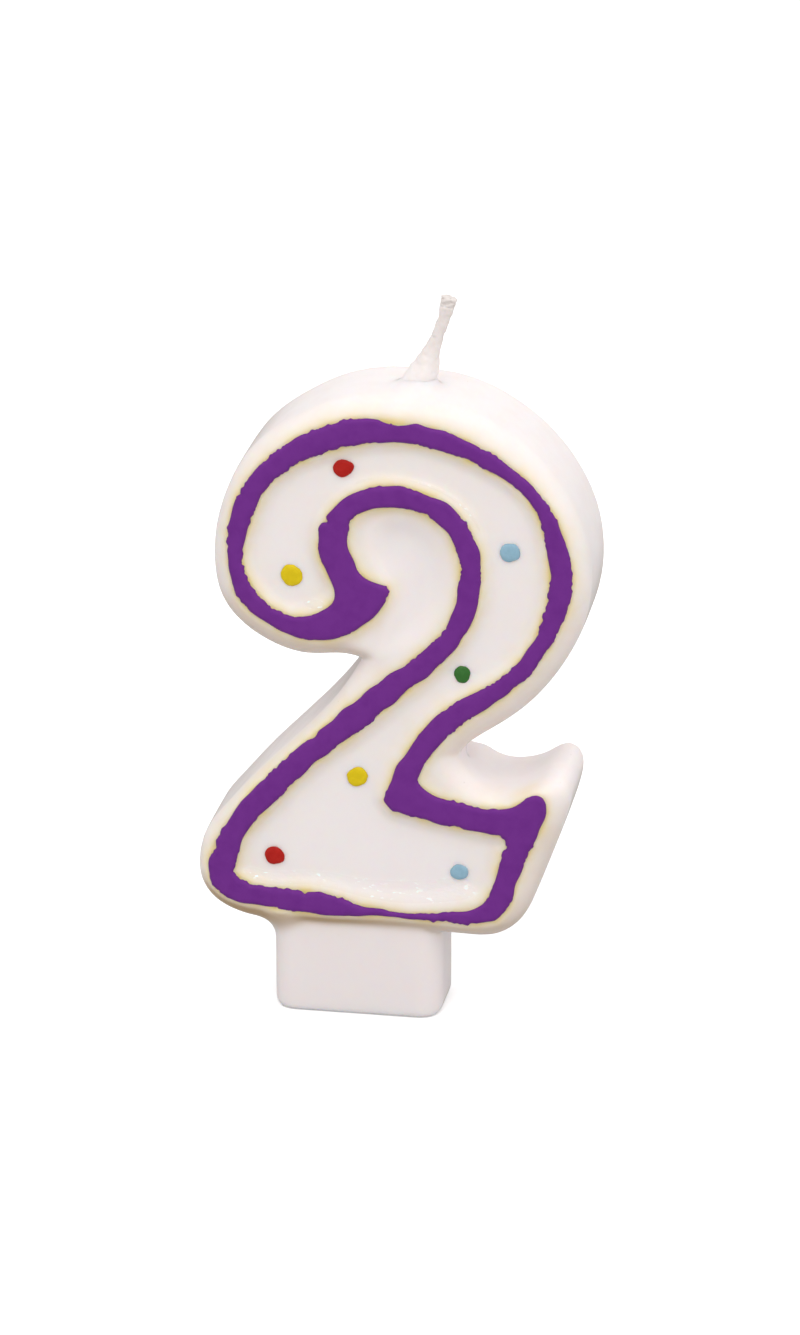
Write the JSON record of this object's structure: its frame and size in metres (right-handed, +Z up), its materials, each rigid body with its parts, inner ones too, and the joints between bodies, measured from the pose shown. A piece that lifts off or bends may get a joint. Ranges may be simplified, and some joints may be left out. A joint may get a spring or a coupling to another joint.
{
  "type": "number candle",
  "caption": "Cast wax numeral candle with a coloured raised outline, coloured drops, a cotton wick and a block foot that is pushed into a cake.",
  "frame": {"origin": "centre of the foot's flat underside, in the mid-plane of the foot", "axes": "+Z up along the numeral, the decorated face looks along -Y, +X to the right as the numeral is read"},
  "size_m": [0.0454, 0.014, 0.086],
  "materials": {
    "white_wax": "satin",
    "purple_wax": "satin",
    "red_wax": "satin",
    "yellow_wax": "satin",
    "blue_wax": "satin",
    "green_wax": "satin",
    "wick_cotton": "matte"
  },
  "bodies": {
    "root": {"wax_body": "white_wax", "outline_bead": "purple_wax", "dot_red_upper": "red_wax", "dot_red_lower": "red_wax", "dot_yellow_upper": "yellow_wax", "dot_yellow_lower": "yellow_wax", "dot_blue_upper": "blue_wax", "dot_blue_lower": "blue_wax", "dot_green": "green_wax", "wick": "wick_cotton", "wick_wax_coat": "white_wax", "wick_collar": "white_wax"}
  },
  "joints": []
}
